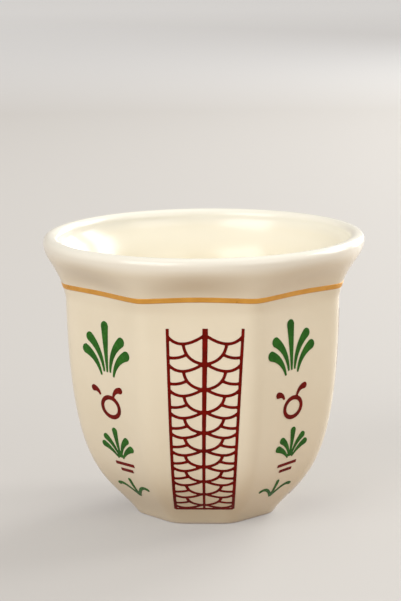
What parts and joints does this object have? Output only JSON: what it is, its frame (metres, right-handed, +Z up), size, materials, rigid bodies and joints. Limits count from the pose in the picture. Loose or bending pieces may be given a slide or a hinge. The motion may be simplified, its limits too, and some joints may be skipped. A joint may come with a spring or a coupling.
{
  "type": "handleless coffee cup",
  "caption": "Small octagonal porcelain coffee cup without a handle, with a round flared rim, a gilt line and enamel ornament on its facets.",
  "frame": {"origin": "centre of the foot ring's underside, on the table", "axes": "+Z up along the cup's axis, -Y out of the facet with the scale column that faces the viewer"},
  "size_m": [0.065, 0.065, 0.0573],
  "materials": {
    "porcelain": "warm cream-white glossy glaze, bare on the foot ring's underside",
    "gilt": "fired gold lustre line, ochre and softly shiny",
    "red_enamel": "fired on-glaze enamel, dark red",
    "green_enamel": "fired on-glaze enamel, leaf green"
  },
  "bodies": {
    "root": {"cup_body": "porcelain", "gilt_line": "gilt", "scale_column_1": "red_enamel", "scale_column_2": "red_enamel", "scale_column_3": "red_enamel", "scale_column_4": "red_enamel", "sprig_1_free_drop": "red_enamel", "sprig_1_ring": "red_enamel", "sprig_1_upper_stroke": "red_enamel", "sprig_1_lower_stroke": "red_enamel", "sprig_2_free_drop": "red_enamel", "sprig_2_ring": "red_enamel", "sprig_2_upper_stroke": "red_enamel", "sprig_2_lower_stroke": "red_enamel", "sprig_3_free_drop": "red_enamel", "sprig_3_ring": "red_enamel", "sprig_3_upper_stroke": "red_enamel", "sprig_3_lower_stroke": "red_enamel", "sprig_4_free_drop": "red_enamel", "sprig_4_ring": "red_enamel", "sprig_4_upper_stroke": "red_enamel", "sprig_4_lower_stroke": "red_enamel", "sprig_1_leaf_1": "green_enamel", "sprig_1_leaf_2": "green_enamel", "sprig_1_leaf_3": "green_enamel", "sprig_1_leaf_4": "green_enamel", "sprig_1_leaf_5": "green_enamel", "sprig_1_lower_frond": "green_enamel", "sprig_1_bottom_sprig": "green_enamel", "sprig_2_leaf_1": "green_enamel", "sprig_2_leaf_2": "green_enamel", "sprig_2_leaf_3": "green_enamel", "sprig_2_leaf_4": "green_enamel", "sprig_2_leaf_5": "green_enamel", "sprig_2_lower_frond": "green_enamel", "sprig_2_bottom_sprig": "green_enamel", "sprig_3_leaf_1": "green_enamel", "sprig_3_leaf_2": "green_enamel", "sprig_3_leaf_3": "green_enamel", "sprig_3_leaf_4": "green_enamel", "sprig_3_leaf_5": "green_enamel", "sprig_3_lower_frond": "green_enamel", "sprig_3_bottom_sprig": "green_enamel", "sprig_4_leaf_1": "green_enamel", "sprig_4_leaf_2": "green_enamel", "sprig_4_leaf_3": "green_enamel", "sprig_4_leaf_4": "green_enamel", "sprig_4_leaf_5": "green_enamel", "sprig_4_lower_frond": "green_enamel", "sprig_4_bottom_sprig": "green_enamel"}
  },
  "joints": []
}
